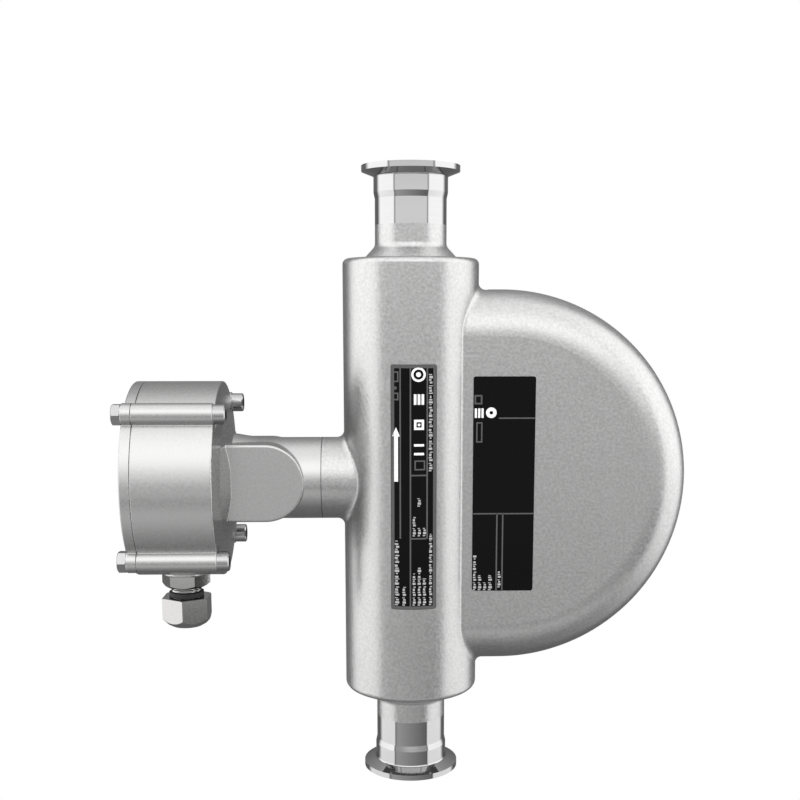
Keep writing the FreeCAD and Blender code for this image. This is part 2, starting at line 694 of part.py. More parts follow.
def spun(corners):
    """Spin (distance, radius) corners about the neck's axis."""
    points = [at_box(x, 0, r) for x, r in corners]
    face = Part.Face(Part.makePolygon(points + points[:1]))
    return face.revolve(middle_point(0, 0, 0), V(1, 0, 0), 360)


def bolt_places():
    offset = num("bolt_circle") * math.sqrt(0.5)
    return [(y * offset, z * offset) for y in (-1, 1) for z in (1, -1)]


def post_places():
    circle = num("post_circle")
    return [(circle * math.cos(math.radians(a)), circle * math.sin(math.radians(a))) for a in (90, 210, 330)]


def tongue():
    half, depth, end = num("tongue_half_height"), num("tongue_half_depth"), num("tongue_end")
    foot = num("crown_place")
    points = [at_box(foot, -depth, half), at_box(end + half, -depth, half),
              (at_box(end, -depth, 0), at_box(end + half, -depth, -half)),
              at_box(foot, -depth, -half), at_box(foot, -depth, half)]
    slab = Part.Face(Part.Wire(line_run(points))).extrude(V(0, 2 * depth, 0))
    rims = [e for e in slab.Edges if e.BoundBox.YLength < FLAT and e.BoundBox.XMax > -foot + 1]
    return slab.makeFillet(num("tongue_edge"), rims)


def ends_rounded(shape, places, radius):
    """Round the outer edges of end faces that lie at the given distances."""
    edges = []
    for e in shape.Edges:
        bounds = e.BoundBox
        if bounds.XLength < FLAT and any(abs(bounds.XMax + x) < FLAT for x in places):
            far = [math.hypot(v.Y, v.Z - num("overall_length") / 2) for v in e.Vertexes]
            if min(far) > num("box_radius") - 0.01:
                edges.append(e)
    return shape.makeFillet(radius, edges)


def terminal_housing():
    seam, end, wall = num("cover_seam"), num("box_end"), num("box_wall")
    radius, neck = num("box_radius"), num("neck_radius")
    cup = rod(end, seam, radius)
    for y, z in bolt_places():
        cup = cup.fuse(rod(end, seam, num("boss_radius"), y, z))
    cup = ends_rounded(cup.removeSplitter(), (end,), num("box_edge"))
    edge = radius - num("box_edge")
    flare = spun([(end + 1, 0), (end + 1, edge), (end, edge), (num("crown_place"), num("crown_radius")),
                  (num("flare_place"), num("flare_radius")), (num("flare_place"), 0)])
    taper = spun([(num("flare_place"), 0), (num("flare_place"), num("flare_radius")),
                  (num("taper_place"), neck), (num("neck_seam"), neck), (num("neck_seam"), 0)])
    depth = num("tongue_half_depth")
    between_cheeks = Part.makeBox(end, 2 * depth, 2 * radius, middle_point(-end, -depth, -radius))
    taper = taper.common(between_cheeks)
    gland_top = at_box(num("gland_place"), 0, 0)
    seat = Part.makeCylinder(num("seat_radius"), num("seat_drop"), gland_top, V(0, 0, -1))
    shape = flare.fuse(taper).fuse(tongue()).fuse(cup).fuse(seat).removeSplitter()
    floor = end + num("floor_thickness")
    post_top = end + num("post_height")
    shape = shape.cut(rod(floor, seam + 1, radius - wall))
    for y, z in post_places():
        shape = shape.fuse(rod(end + 1, post_top, num("post_radius"), y, z))
    shape = shape.cut(rod(num("neck_seam") - 1, floor + 1, num("neck_bore")))
    joint = num("neck_seam")
    shape = shape.cut(rod(joint - 1, joint + num("spigot_length"), num("spigot_radius")))
    shape = shape.cut(Part.makeTorus(num("spigot_radius"), num("ring_section"), ring_centre(), V(1, 0, 0)))
    for y, z in bolt_places():
        shape = shape.cut(rod(end - 1, seam + 1, num("bolt_radius") + num("bolt_play"), y, z))
        shape = shape.cut(rod(num("neck_seam"), end, num("pocket_radius"), y, z))
    for y, z in post_places():
        shape = shape.cut(rod(post_top - num("screw_grip"), post_top + 1, num("screw_radius"), y, z))
    return shape.cut(Part.makeCylinder(num("gland_thread"), num("seat_drop") + 1, gland_top, V(0, 0, -1)))


piece(formed("terminal_housing", terminal_housing()), "terminal_housing")


# cover with its locating ring

def cover():
    seam, face = num("cover_seam") + num("cover_gap"), num("cover_face")
    shape = rod(seam, face, num("box_radius"))
    for y, z in bolt_places():
        shape = shape.fuse(rod(seam, face, num("boss_radius"), y, z))
    shape = ends_rounded(shape.removeSplitter(), (face,), num("box_edge"))
    ring = num("box_radius") - num("box_wall") - num("rebate_play")
    low = num("cover_seam") - num("rebate_depth")
    shape = shape.fuse(rod(low, seam, ring)).cut(rod(low - 1, seam, ring - num("rebate_wall")))
    groove = Part.makeTorus(ring, num("gasket_section"), gasket_centre(), V(1, 0, 0))
    shape = shape.cut(groove)
    for y, z in bolt_places():
        shape = shape.cut(rod(seam - 1, face + 1, num("bolt_radius") + num("bolt_play"), y, z))
    return shape


def gasket_centre():
    return at_box(num("cover_seam") - num("rebate_depth") / 2, 0, 0)


def cover_gasket():
    """A ring in the cover's groove, trimmed to the housing's bore less its play."""
    ring = num("box_radius") - num("box_wall") - num("rebate_play")
    torus = Part.makeTorus(ring, num("gasket_section"), gasket_centre(), V(1, 0, 0))
    reach = num("gasket_section") + 1
    middle = num("cover_seam") - num("rebate_depth") / 2
    return torus.common(rod(middle - reach, middle + reach, ring + num("rebate_play") / 2))


piece(formed("cover", cover()), "cover")
piece(formed("cover_gasket", cover_gasket()), "cover_gasket")


def bevelled(name, base, radius, x):
    """Bevel the circular edge of that radius round the X direction at x."""
    doc.recompute()
    obj = doc.addObject("Part::Chamfer", name)
    obj.Base = base
    for number, e in enumerate(base.Shape.Edges, start=1):
        if not isinstance(e.Curve, Part.Circle):
            continue
        if abs(e.Curve.Radius - radius) < NEAR and abs(e.Curve.Center.x - x) < NEAR:
            obj.Edges = [(number, num("head_bevel"), num("head_bevel"))]
    return obj


# cover bolts from the end wall, each with its nut on the cover
CORNERS = (("front_top", "-", "+"), ("front_bottom", "-", "-"),
           ("rear_top", "", "+"), ("rear_bottom", "", "-"))
for name, y_sign, z_sign in CORNERS:
    y = y_sign + "bolt_circle * sqrt(0.5)"
    z = "overall_length / 2 %s bolt_circle * sqrt(0.5)" % z_sign
    node = "cover_bolt_" + name
    head = cylinder(node + "_head", "head_radius", "head_height", ("-box_end", y, z), ALONG_X)
    shank = cylinder(node + "_shank", "bolt_radius", "cover_face - box_end + nut_height + bolt_tip",
                     ("-box_end", y, z), AGAINST_X)
    socket_sizes = {"Circumradius": "socket_flats / sqrt(3)", "Height": "socket_depth + 1"}
    socket_at = ("-box_end + head_height - socket_depth", y, z)
    socket = solid("Prism", node + "_socket", socket_sizes, socket_at, ALONG_X)
    screw = cut(node + "_raw", fuse(node + "_solid", head, shank), socket)
    bevel = bevelled(node, screw, num("head_radius"), num("head_height") - num("box_end"))
    piece(bevel, node)
    node = "cover_nut_" + name
    at = ("-cover_face", y, z)
    hexagon_sizes = {"Circumradius": "nut_flats / sqrt(3)", "Height": "nut_height"}
    hexa = solid("Prism", node + "_hex", hexagon_sizes, at, NUT_TURN)
    bevel_sizes = {"Radius1": "nut_face + nut_height * bevel_slope", "Radius2": "nut_face",
                   "Height": "nut_height"}
    bowl = solid("Cone", node + "_bevel", bevel_sizes, at, AGAINST_X)
    thread = cylinder(node + "_thread", "bolt_radius + thread_play", "nut_height + 2",
                      ("-cover_face + 1", y, z), AGAINST_X)
    piece(cut(node, common(node + "_blank", hexa, bowl), thread), node)

# terminal board on three posts, with its screws, block and leads
board_back = "-box_end - post_height"
board = cylinder("board_blank", "board_radius", "board_thickness", (board_back, "0", MIDDLE[2]), AGAINST_X)
POSTS = (("top", 90), ("left", 210), ("right", 330))
board_holes = []
for name, angle in POSTS:
    at = on_circle("post_circle", angle, board_back + " + 1")
    board_holes.append(cylinder("board_hole_" + name, "screw_radius", "board_thickness + 2", at, AGAINST_X))
    node = "board_screw_" + name
    shank_at = on_circle("post_circle", angle, board_back + " + screw_grip")
    shank = cylinder(node + "_shank", "screw_radius", "screw_grip + board_thickness", shank_at, AGAINST_X)
    head_at = on_circle("post_circle", angle, board_back + " - board_thickness")
    head = cylinder(node + "_head", "screw_head", "screw_head_height", head_at, AGAINST_X)
    piece(fuse(node, shank, head), node)
for n, angle in enumerate(PIN_ANGLES):
    at = on_circle("pin_circle", angle, "-seal_place - seal_disc - pin_reach")
    span = "box_end + post_height - seal_place - seal_disc - pin_reach"
    leads.append(cylinder("lead_%d" % n, "pin_radius", span, at, AGAINST_X))
piece(cut("terminal_board", board, *board_holes), "terminal_board")
piece(fuse("signal_leads", *leads), "signal_leads")

POLES = 6
block_half = "(post_circle * cos(30) - screw_head - block_play)"
pole_pitch = "(%s - block_end) * 2 / %d" % (block_half, POLES)
block_x = board_back + " - board_thickness"
block_z = "overall_length / 2 - block_drop"
block_low = (block_x + " - block_height", "-" + block_half, block_z + " - block_width / 2")
block_high = (block_x, block_half, block_z + " + block_width / 2")
block = box("terminal_block_blank", block_low, block_high)
clamps, block_holes = [], []
for n in range(POLES):
    y = "(%d - %d / 2) * %s" % (n, POLES - 1, pole_pitch)
    top = block_x + " - block_height"
    clamp_at = (top + " + 1", y, block_z)
    clamps.append(cylinder("clamp_%d" % n, "clamp_radius", "clamp_depth", clamp_at, ALONG_X))
    hole_at = (top + " - 1", y, block_z)
    block_holes.append(cylinder("clamp_hole_%d" % n, "clamp_radius", "clamp_depth + 2", hole_at, ALONG_X))
    entry_at = (block_x + " - block_height / 2", y, block_z + " - block_width / 2 - 1")
    block_holes.append(cylinder("entry_hole_%d" % n, "entry_hole", "block_width / 2", entry_at))
piece(cut("terminal_block", block, *block_holes), "terminal_block")
piece(fuse("terminal_screws", *clamps), "terminal_screws")

# cable gland, hanging from the seat under the box
GLAND = ("-gland_place", "0")
seat_z = "overall_length / 2 - seat_drop"
hex_low = seat_z + " - gland_hex_height"
gland_hex = hexagon("gland_hex", "gland_flats", "gland_hex_height", GLAND + (seat_z,), "gland_turn")
gland_bevel_sizes = {"Radius1": "gland_face", "Radius2": "gland_face + gland_hex_height * bevel_slope",
                     "Height": "gland_hex_height"}
gland_bevel = solid("Cone", "gland_bevel", gland_bevel_sizes, GLAND + (hex_low,))
gland_upper = cylinder("gland_upper", "gland_thread", "gland_inside", GLAND + (seat_z,))
gland_lower = cylinder("gland_lower", "gland_thread", "gland_spigot", GLAND + (hex_low + " - gland_spigot",))
gland_hole = cylinder("gland_hole", "gland_bore", "gland_inside + gland_hex_height + gland_spigot + 2",
                      GLAND + (hex_low + " - gland_spigot - 1",))
gland_head = common("gland_head", gland_hex, gland_bevel)
piece(cut("gland_body", fuse("gland_solid", gland_head, gland_upper, gland_lower), gland_hole), "gland_body")

ring_low = hex_low + " - gland_ring_gap - gland_ring"
ring_blank = cylinder("gland_ring_blank", "gland_thread + gland_ring / 2", "gland_ring", GLAND + (ring_low,))
ring_hole = cylinder("gland_ring_hole", "gland_thread", "gland_ring + 2", GLAND + (ring_low + " - 1",))
piece(cut("gland_dust_ring", ring_blank, ring_hole), "gland_dust_ring")

spigot_low = hex_low + " - gland_spigot"
seal_blank = cylinder("gland_seal_blank", "gland_bore", "seal_length", GLAND + (spigot_low,))
seal_hole = cylinder("gland_seal_hole", "seal_bore", "seal_length + 2", GLAND + (spigot_low + " - 1",))
piece(cut("gland_seal", seal_blank, seal_hole), "gland_seal")

clamp_top = spigot_low + " - clamp_ring_play"
clamp_blank = cylinder("clamp_ring_blank", "gland_thread - clamp_ring_play", "clamp_ring_height",
                       GLAND + (clamp_top + " - clamp_ring_height",))
clamp_hole = cylinder("clamp_ring_hole", "clamp_ring_bore", "clamp_ring_height + 2",
                      GLAND + (clamp_top + " - clamp_ring_height - 1",))
piece(cut("gland_clamp_ring", clamp_blank, clamp_hole), "gland_clamp_ring")

cap_top = ring_low + " - cap_ring_gap"
cap_end = cap_top + " - cap_hex_height - cap_dome"
cap_hex = hexagon("cap_hex", "cap_flats", "cap_hex_height + cap_dome", GLAND + (cap_top,), "cap_turn")
outside_corners = "cap_flats / sqrt(3) + 0.5"
CAP_OUTLINE = (("0", "0"), ("cap_face", "0"), (outside_corners, "-cap_bevel"),
               (outside_corners, "-cap_hex_height"),
               ("dome_shoulder", "-cap_hex_height - dome_shoulder_drop"),
               ("dome_belly", "-cap_hex_height - dome_belly_drop"),
               ("cap_end_radius", "-cap_hex_height - cap_dome"), ("0", "-cap_hex_height - cap_dome"))
cap_shape = turned("cap_profile", CAP_OUTLINE, GLAND + (cap_top,))
cap_floor = clamp_top + " - clamp_ring_height - clamp_ring_play"
cap_depth = cap_top + " + 1 - (" + cap_floor + ")"
cap_room = cylinder("cap_room", "gland_thread + thread_play", cap_depth, GLAND + (cap_floor,))
cap_hole = cylinder("cap_hole", "cap_exit", "cap_hex_height + cap_dome + 2", GLAND + (cap_end + " - 1",))
piece(cut("gland_cap", common("cap_blank", cap_hex, cap_shape), cap_room, cap_hole), "gland_cap")


# nameplates: one curved on the body tube, one flat on the loop housing

def corner_rounded(name, plate_box):
    """Round the four corners of a box that is cut through along Y."""
    doc.recompute()
    obj = doc.addObject("Part::Fillet", name)
    obj.Base = plate_box
    corners = []
    for number, e in enumerate(plate_box.Shape.Edges, start=1):
        if e.BoundBox.XLength < FLAT and e.BoundBox.ZLength < FLAT:
            corners.append((number, num("plate_corner"), num("plate_corner")))
    obj.Edges = corners
    return obj


mid_z = MIDDLE[2]
main_box = box("main_plate_box", ("-main_plate_left", "-body_radius - 5", mid_z + " - main_plate_bottom"),
               ("main_plate_right", "0", mid_z + " + main_plate_top"))
plate_height = "main_plate_top + main_plate_bottom"
plate_tube = cylinder("main_plate_tube", "body_radius + plate_thickness", plate_height + " + 2",
                      ("0", "0", mid_z + " - main_plate_bottom - 1"))
plate_core = cylinder("main_plate_core", "body_radius + plate_glue", plate_height + " + 4",
                      ("0", "0", mid_z + " - main_plate_bottom - 2"))
main_blank = common("main_plate_blank", corner_rounded("main_plate_corners", main_box), plate_tube)
piece(cut("main_nameplate", main_blank, plate_core), "main_nameplate")
side_low = ("side_plate_left", "-loop_half_depth - plate_thickness", mid_z + " - side_plate_bottom")
side_high = ("side_plate_right", "-loop_half_depth", mid_z + " + side_plate_top")
side_box = box("side_plate_box", side_low, side_high)
piece(corner_rounded("side_nameplate", side_box), "side_nameplate")

doc.recompute()

failed = [o.Name for o in doc.Objects if {"Invalid", "Error"} & set(o.State)]
for obj in PIECES:
    if obj.Shape.isNull() or not obj.Shape.isValid() or not obj.Shape.Solids:
        failed.append(obj.Label)
if failed:
    raise RuntimeError("not built: " + ", ".join(failed))

os.makedirs("parts", exist_ok=True)
for obj in PIECES:
    obj.Shape.exportStep("parts/%s.step" % obj.Label)
    print("%-26s %9.0f mm3, %d solids" % (obj.Label, obj.Shape.Volume, len(obj.Shape.Solids)))
print(len(PIECES), "pieces")
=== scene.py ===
import json
import math

import bmesh
import bpy
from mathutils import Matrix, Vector


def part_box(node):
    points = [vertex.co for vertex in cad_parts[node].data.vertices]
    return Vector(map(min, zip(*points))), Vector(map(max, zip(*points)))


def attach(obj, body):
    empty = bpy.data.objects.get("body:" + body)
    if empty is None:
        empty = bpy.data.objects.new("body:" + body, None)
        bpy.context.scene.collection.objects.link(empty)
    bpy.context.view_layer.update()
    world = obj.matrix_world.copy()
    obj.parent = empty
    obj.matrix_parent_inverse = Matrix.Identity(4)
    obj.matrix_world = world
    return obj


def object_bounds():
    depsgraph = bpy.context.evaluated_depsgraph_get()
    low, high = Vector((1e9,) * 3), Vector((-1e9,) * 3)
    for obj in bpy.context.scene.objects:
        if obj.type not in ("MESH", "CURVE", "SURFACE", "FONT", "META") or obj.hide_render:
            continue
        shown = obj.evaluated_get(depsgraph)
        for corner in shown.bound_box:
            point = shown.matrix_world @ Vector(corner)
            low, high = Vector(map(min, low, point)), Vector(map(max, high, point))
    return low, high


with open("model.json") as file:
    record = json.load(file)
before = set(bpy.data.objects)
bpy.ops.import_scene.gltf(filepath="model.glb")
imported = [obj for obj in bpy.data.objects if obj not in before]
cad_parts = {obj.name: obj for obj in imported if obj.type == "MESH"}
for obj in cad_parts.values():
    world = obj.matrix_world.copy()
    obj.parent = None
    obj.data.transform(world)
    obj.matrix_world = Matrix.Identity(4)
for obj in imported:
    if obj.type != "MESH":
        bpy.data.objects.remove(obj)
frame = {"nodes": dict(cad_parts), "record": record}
CAD_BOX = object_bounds()

MM = 0.001
WHITE = (1.0, 1.0, 1.0, 1.0)
NODE_SLOT = {row["node"]: row["material_slot"] for row in frame["record"]["subparts"]}

# Camera, at the photograph's viewing angle
CAMERA_AT = (-0.01617, -0.60294, 0.2488)
CAMERA_LOOK = (0.02643, 0.98587, -0.16543)
CAMERA_LENS = 51.555
CAMERA_SENSOR = 36.0
CAMERA_SHIFT = (-0.01338, 0.125)
CAMERA_NEAR = 0.01


def add_camera():
    data = bpy.data.cameras.new("camera")
    data.lens = CAMERA_LENS
    data.sensor_width = CAMERA_SENSOR
    data.shift_x, data.shift_y = CAMERA_SHIFT
    data.clip_start = CAMERA_NEAR
    camera = bpy.data.objects.new("camera", data)
    camera.location = CAMERA_AT
    camera.rotation_euler = Vector(CAMERA_LOOK).to_track_quat("-Z", "Y").to_euler()
    bpy.context.scene.collection.objects.link(camera)
    bpy.context.scene.camera = camera


# The highest number that a ramp of Tree.ramp can hold
RAMP_TOP = 2.5


class Tree:
    """A node tree with short calls that add a node and join it up."""

    def __init__(self, tree):
        self.tree = tree
        self.tree.nodes.clear()

    def add(self, kind, **settings):
        node = self.tree.nodes.new(kind)
        for name, value in settings.items():
            setattr(node, name, value)
        return node

    def put(self, socket, value):
        """A socket takes a number or colour, or the output of another node."""
        if isinstance(value, bpy.types.NodeSocket):
            self.tree.links.new(value, socket)
        else:
            socket.default_value = value

    def math(self, operation, first, second=0.0, third=0.0):
        node = self.add("ShaderNodeMath", operation=operation)
        for socket, value in zip(node.inputs, (first, second, third)):
            self.put(socket, value)
        return node.outputs[0]

    def span(self, value, low, high, to_low=0.0, to_high=1.0, smooth=False):
        """Maps low..high to to_low..to_high, held at both ends."""
        node = self.add("ShaderNodeMapRange", interpolation_type="SMOOTHSTEP" if smooth else "LINEAR")
        self.put(node.inputs["Value"], value)
        for name, number in (("From Min", low), ("From Max", high), ("To Min", to_low), ("To Max", to_high)):
            node.inputs[name].default_value = number
        return node.outputs["Result"]

    def ramp(self, value, stops):
        """A ramp through (place, number) stops, with the numbers up to RAMP_TOP."""
        node = self.add("ShaderNodeValToRGB")
        elements = node.color_ramp.elements
        while len(elements) < len(stops):
            elements.new(0.5)
        for element, (place, number) in zip(elements, stops):
            element.position = place
            element.color = (number / RAMP_TOP,) * 3 + (1.0,)
        self.put(node.inputs["Fac"], value)
        return self.math("MULTIPLY", node.outputs["Color"], RAMP_TOP)

    def mix(self, share, first, second):
        return self.blend(share, first, second, "RGBA")

    def blend(self, share, first, second, kind="FLOAT"):
        node = self.add("ShaderNodeMix", data_type=kind)
        self.put(node.inputs["Factor"], share)
        self.put(node.inputs["A"], first)
        self.put(node.inputs["B"], second)
        return node.outputs["Result"]


# Studio light by direction. Turns are in degrees round the upright axis, away from the photograph's side. Each
# light holds (degrees above the horizon, level): the front's left and right ends, the bright soft boxes at both
# sides, and the dim back. The gap is a darker stripe between the front and a soft box.
LEFT_TO_RIGHT = (-40.0, 45.0)
FRONT_EDGE = (52.0, 58.0)
GAP_IN = (50.0, 53.0)
GAP_OUT = (55.0, 58.0)
GAP_LEVEL = 0.45
SIDE_EDGE = (112.0, 134.0)
FRONT_TOP = ((-3, 0.60), (2, 0.64), (4, 1.45), (7, 1.22), (10, 1.20), (18, 1.75), (26, 2.15), (45, 2.10),
             (60, 1.75), (75, 1.65), (90, 1.65))
LEFT_LIGHT = ((-90, 0.20), (-60, 0.48), (-45, 0.76), (-30, 0.90), (-24, 0.60), (-15, 0.62), (-11, 1.00),
              (-6, 0.66)) + FRONT_TOP
RIGHT_LIGHT = ((-90, 0.20), (-60, 0.40), (-45, 0.64), (-30, 0.86), (-25, 0.28), (-15, 0.26), (-11, 1.15),
               (-6, 0.74)) + FRONT_TOP
SIDE_LIGHT = ((-90, 0.22), (-60, 0.40), (-50, 0.52), (-38, 0.80), (-28, 1.40), (-16, 1.72), (0, 2.05),
              (20, 2.15), (45, 2.05), (60, 1.75), (75, 1.65), (90, 1.65))
BACK_LIGHT = ((-90, 0.25), (-50, 0.18), (-20, 0.18), (0, 0.18), (20, 0.32), (45, 0.55), (60, 0.90),
              (75, 1.40), (90, 1.65))


def add_light():
    world = bpy.data.worlds.new("studio")
    world.use_nodes = True
    bpy.context.scene.world = world
    tree = Tree(world.node_tree)
    direction = tree.add("ShaderNodeTexCoord").outputs["Generated"]
    parts = tree.add("ShaderNodeSeparateXYZ")
    tree.put(parts.inputs[0], direction)
    across, depth, up = parts.outputs
    turn = tree.math("ARCTAN2", across, tree.math("MULTIPLY", depth, -1.0))
    turn = tree.math("MULTIPLY", turn, 180.0 / math.pi)
    side = tree.math("ABSOLUTE", turn)
    height = tree.math("MULTIPLY", tree.math("ARCSINE", up), 180.0 / math.pi)
    place = tree.span(height, -90.0, 90.0)
    zones = []
    for stops in (LEFT_LIGHT, RIGHT_LIGHT, SIDE_LIGHT, BACK_LIGHT):
        zones.append(tree.ramp(place, [((angle + 90.0) / 180.0, number) for angle, number in stops]))
    left, right, sides, back = zones
    front = tree.blend(tree.span(turn, *LEFT_TO_RIGHT), left, right)
    level = tree.blend(tree.span(side, *FRONT_EDGE, smooth=True), front, sides)
    in_gap = tree.math("MINIMUM", tree.span(side, *GAP_IN), tree.span(side, *GAP_OUT, 1.0, 0.0))
    level = tree.math("MULTIPLY", level, tree.span(in_gap, 0.0, 1.0, 1.0, GAP_LEVEL))
    level = tree.blend(tree.span(side, *SIDE_EDGE, smooth=True), level, back)
    studio = tree.add("ShaderNodeBackground")
    studio.inputs["Color"].default_value = WHITE
    tree.put(studio.inputs["Strength"], level)
    plain = tree.add("ShaderNodeBackground")
    plain.inputs["Color"].default_value = WHITE
    seen = tree.add("ShaderNodeLightPath").outputs["Is Camera Ray"]
    either = tree.add("ShaderNodeMixShader")
    tree.put(either.inputs["Fac"], seen)
    tree.put(either.inputs[1], studio.outputs[0])
    tree.put(either.inputs[2], plain.outputs[0])
    tree.put(tree.add("ShaderNodeOutputWorld").inputs["Surface"], either.outputs[0])


FLOOR_HALF = 1.5


def add_floor():
    mesh = bpy.data.meshes.new("floor")
    corners = [(x * FLOOR_HALF, y * FLOOR_HALF, 0) for x, y in ((-1, -1), (1, -1), (1, 1), (-1, 1))]
    mesh.from_pydata(corners, [], [(0, 1, 2, 3)])
    floor = bpy.data.objects.new("floor", mesh)
    bpy.context.scene.collection.objects.link(floor)
    material = bpy.data.materials.new("floor_white")
    material.use_nodes = True
    tree = Tree(material.node_tree)
    glow = tree.add("ShaderNodeEmission")
    glow.inputs["Color"].default_value = WHITE
    tree.put(tree.add("ShaderNodeOutputMaterial").inputs["Surface"], glow.outputs[0])
    mesh.materials.append(material)
    floor.visible_diffuse = False
    floor.visible_glossy = False
    floor.visible_transmission = False
    floor.visible_shadow = False


# Noise keeps mostly between these two values
NOISE_SPAN = (0.3, 0.7)


def surface(name, base, metallic, roughness, sockets=()):
    """A Principled material: returns it with its tree, its shader and the object's own coordinates."""
    material = bpy.data.materials.new(name)
    material.use_nodes = True
    tree = Tree(material.node_tree)
    shader = tree.add("ShaderNodeBsdfPrincipled")
    shader.inputs["Base Color"].default_value = (*base, 1.0)
    shader.inputs["Metallic"].default_value = metallic
    shader.inputs["Roughness"].default_value = roughness
    for socket, value in dict(sockets).items():
        shader.inputs[socket].default_value = value
    tree.put(tree.add("ShaderNodeOutputMaterial").inputs["Surface"], shader.outputs[0])
    return material, tree, shader, tree.add("ShaderNodeTexCoord").outputs["Object"]


def noise(tree, where, grain, detail=2.0, stretch=None):
    """Noise with a grain of that size in metres, its coordinates scaled by stretch."""
    if stretch:
        mapping = tree.add("ShaderNodeMapping")
        mapping.inputs["Scale"].default_value = stretch
        tree.put(mapping.inputs["Vector"], where)
        where = mapping.outputs[0]
    node = tree.add("ShaderNodeTexNoise")
    node.inputs["Scale"].default_value = 1.0 / grain
    node.inputs["Detail"].default_value = detail
    tree.put(node.inputs["Vector"], where)
    return node.outputs["Fac"]


def tint(tree, shader, share, dark, light):
    """The base colour runs from dark to light over the span of a noise."""
    colour = tree.mix(tree.span(share, *NOISE_SPAN), (*dark, 1.0), (*light, 1.0))
    tree.put(shader.inputs["Base Color"], colour)


def vary_roughness(tree, shader, share, low, high):
    """The roughness runs from low to high over the span of a noise."""
    tree.put(shader.inputs["Roughness"], tree.span(share, *NOISE_SPAN, low, high))


BEVEL_SAMPLES = 16


def relief(tree, shader, height, distance, strength=1.0, soften=0.0):
    """Bumps by height; soften rounds the edges' shading by that radius."""
    bump = tree.add("ShaderNodeBump")
    if soften:
        edges = tree.add("ShaderNodeBevel", samples=BEVEL_SAMPLES)
        edges.inputs["Radius"].default_value = soften
        tree.put(bump.inputs["Normal"], edges.outputs[0])
    bump.inputs["Distance"].default_value = distance
    bump.inputs["Strength"].default_value = strength
    tree.put(bump.inputs["Height"], height)
    tree.put(shader.inputs["Normal"], bump.outputs[0])


def thread(tree, where, axis, pitch, low, high):
    """Height of thread turns between two places on the axis, 0 elsewhere."""
    parts = tree.add("ShaderNodeSeparateXYZ")
    tree.put(parts.inputs[0], where)
    along = parts.outputs[axis]
    wave = tree.math("SINE", tree.math("MULTIPLY", along, 2 * math.pi / pitch))
    inside = tree.math("MULTIPLY", tree.math("GREATER_THAN", along, low), tree.math("LESS_THAN", along, high))
    return tree.math("MULTIPLY", tree.math("MULTIPLY_ADD", wave, 0.5, third=0.5), inside)


def grey(level, warm=0.0):
    return (level * (1.0 + warm), level, level * (1.0 - warm))


# Blasted and turned metal: how far the roughness strays to each side
ROUGHNESS_STRAY = 0.03
# Blasted metal: the clouds' grain, in grains of the blasting, and their share in the change of shade
CLOUD_GRAIN = 10
CLOUD_SHARE = 0.1


def blasted(name, base, roughness, grain, depth, shade, soften=0.0):
    """Steel with the fine dimples of blasting, and a change of shade by that share."""
    material, tree, shader, where = surface(name, grey(base), 1.0, roughness)
    dimples = noise(tree, where, grain, 1.0)
    cloud = noise(tree, where, grain * CLOUD_GRAIN)
    mottle = tree.blend(CLOUD_SHARE, dimples, cloud)
    tint(tree, shader, mottle, grey(base * (1 - shade), 0.004), grey(base * (1 + shade), 0.002))
    vary_roughness(tree, shader, dimples, roughness - ROUGHNESS_STRAY, roughness + ROUGHNESS_STRAY)
    relief(tree, shader, dimples, depth, soften=soften)
    return material


def blasted_steel():
    return blasted("blasted_steel", 0.45, 0.31, 1.4 * MM, 0.06 * MM, 0.10)


def polished_steel():
    material, tree, shader, where = surface("polished_steel", grey(0.43), 1.0, 0.06)
    marks = noise(tree, where, 0.35 * MM, stretch=(0.02, 0.02, 1.0))
    vary_roughness(tree, shader, marks, 0.04, 0.08)
    tint(tree, shader, marks, grey(0.42), grey(0.44))
    relief(tree, shader, marks, 0.004 * MM, 0.5)
    return material


def cast_steel():
    return blasted("cast_steel", 0.46, 0.29, 1.4 * MM, 0.02 * MM, 0.03, 0.8 * MM)


def inner_steel():
    material, tree, shader, where = surface("inner_steel", grey(0.58), 1.0, 0.24)
    marks = noise(tree, where, 0.6 * MM)
    tint(tree, shader, marks, grey(0.54, 0.01), grey(0.62, 0.01))
    vary_roughness(tree, shader, marks, 0.2, 0.32)
    relief(tree, shader, marks, 0.01 * MM, 0.5)
    return material


def bright(name, base, roughness, warm=0.0):
    """Bright turned metal with fine tool marks; returns it with its tree, shader, coordinates and marks."""
    material, tree, shader, where = surface(name, grey(base), 1.0, roughness)
    marks = noise(tree, where, 0.45 * MM, stretch=(0.3, 0.3, 1.0))
    tint(tree, shader, marks, grey(base * 0.95, warm), grey(base * 1.05, warm))
    vary_roughness(tree, shader, marks, roughness - ROUGHNESS_STRAY, roughness + ROUGHNESS_STRAY)
    return material, tree, shader, where, marks


def turned(name, base, roughness, depth, strength=0.5, warm=0.0):
    """Bright metal with its tool marks as relief."""
    material, tree, shader, _, marks = bright(name, base, roughness, warm)
    relief(tree, shader, marks, depth, strength)
    return material


def bright_fasteners():
    return turned("bright_fasteners", 0.38, 0.16, 0.005 * MM)


# Threads: each pitch, the depth of the relief and the share of the tool marks on it
BOLT_PITCH = 1.0 * MM
BOLT_THREAD_DEPTH = 0.3 * MM
BOLT_MARKS = 0.02
GLAND_PITCH = 1.5 * MM
GLAND_THREAD_DEPTH = 0.35 * MM
GLAND_MARKS = 0.01
GLAND_THREAD_ABOVE_RING = 2.4 * MM


def threaded_bolts():
    """Bright bolts with a thread from their ends to the cover's seam."""
    material, tree, shader, where, marks = bright("threaded_bolts", 0.38, 0.16)
    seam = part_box("cover")[1][0]
    turns = thread(tree, where, 0, BOLT_PITCH, CAD_BOX[0][0], seam)
    relief(tree, shader, tree.math("MULTIPLY_ADD", marks, BOLT_MARKS, third=turns), BOLT_THREAD_DEPTH)
    return material


